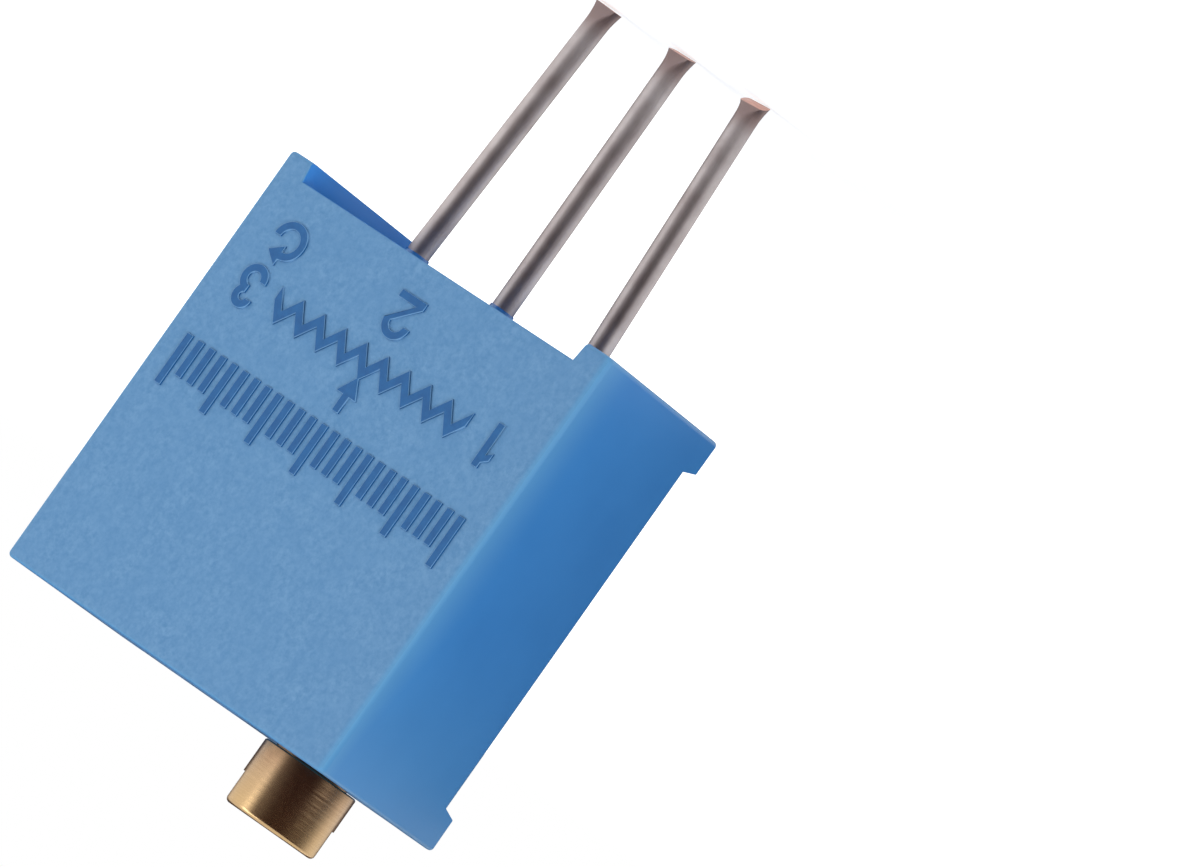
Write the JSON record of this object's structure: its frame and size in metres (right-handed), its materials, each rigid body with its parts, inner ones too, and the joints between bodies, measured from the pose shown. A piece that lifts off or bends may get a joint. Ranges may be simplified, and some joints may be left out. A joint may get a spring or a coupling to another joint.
{
  "type": "trimmer potentiometer",
  "caption": "Square multi-turn trimmer potentiometer: moulded housing with a slotted brass adjusting screw on top and in-line wire leads below.",
  "frame": {"origin": "on the middle lead's axis, in the seating plane under the two rails, where the circuit board's surface lies", "axes": "+Z away from the board, towards the screw head; -Y is the face with the moulded marks; the screw stands near the -X side; the lead row lies along X"},
  "size_m": [0.0096, 0.0049, 0.0176],
  "materials": {
    "housing_plastic": "fine matte moulded texture, blue",
    "cover_plastic": "moulded, blue",
    "potting_resin": "smooth cast epoxy, blue",
    "alumina": "fired, unglazed, white",
    "cermet": "fired resistive film, black",
    "collector_film": "fired collector film, dark grey",
    "silver_film": "fired silver conductor, satin",
    "solder": "bright solder",
    "tinned_copper": "drawn wire, tinned, satin",
    "brass": "turned, aged",
    "seal_rubber": "moulded silicone rubber, black",
    "retainer_steel": "stamped stainless sheet",
    "carriage_plastic": "moulded, natural white",
    "wiper_alloy": "rolled spring strip, bright"
  },
  "bodies": {
    "body": {"housing": "housing_plastic", "end_cover": "cover_plastic", "potting": "potting_resin", "substrate": "alumina", "resistance_track": "cermet", "collector_track": "collector_film", "conductor_1": "silver_film", "conductor_2": "silver_film", "conductor_3": "silver_film", "solder_joint_1": "solder", "solder_joint_2": "solder", "solder_joint_3": "solder", "lead_1": "tinned_copper", "lead_2": "tinned_copper", "lead_3": "tinned_copper", "screw_retainer": "retainer_steel"},
    "screw": {"adjusting_screw": "brass", "o_ring": "seal_rubber"},
    "carriage": {"carriage": "carriage_plastic", "wiper": "wiper_alloy"}
  },
  "joints": [
    {"name": "screw_turn", "type": "hinge", "parent": "body", "child": "screw", "pos_m": [-0.00349, -0.00115, 0.01003], "axis": [0, 0, 1], "range_deg": [-4500, 4500]},
    {"name": "carriage_slide", "type": "slide", "parent": "body", "child": "carriage", "axis": [0, 0, 1], "range_m": [-0.0025, 0.0025]}
  ],
  "couplings": [
    {"joint": "screw_turn", "follows": "carriage_slide", "rad_per_m": -31416}
  ]
}
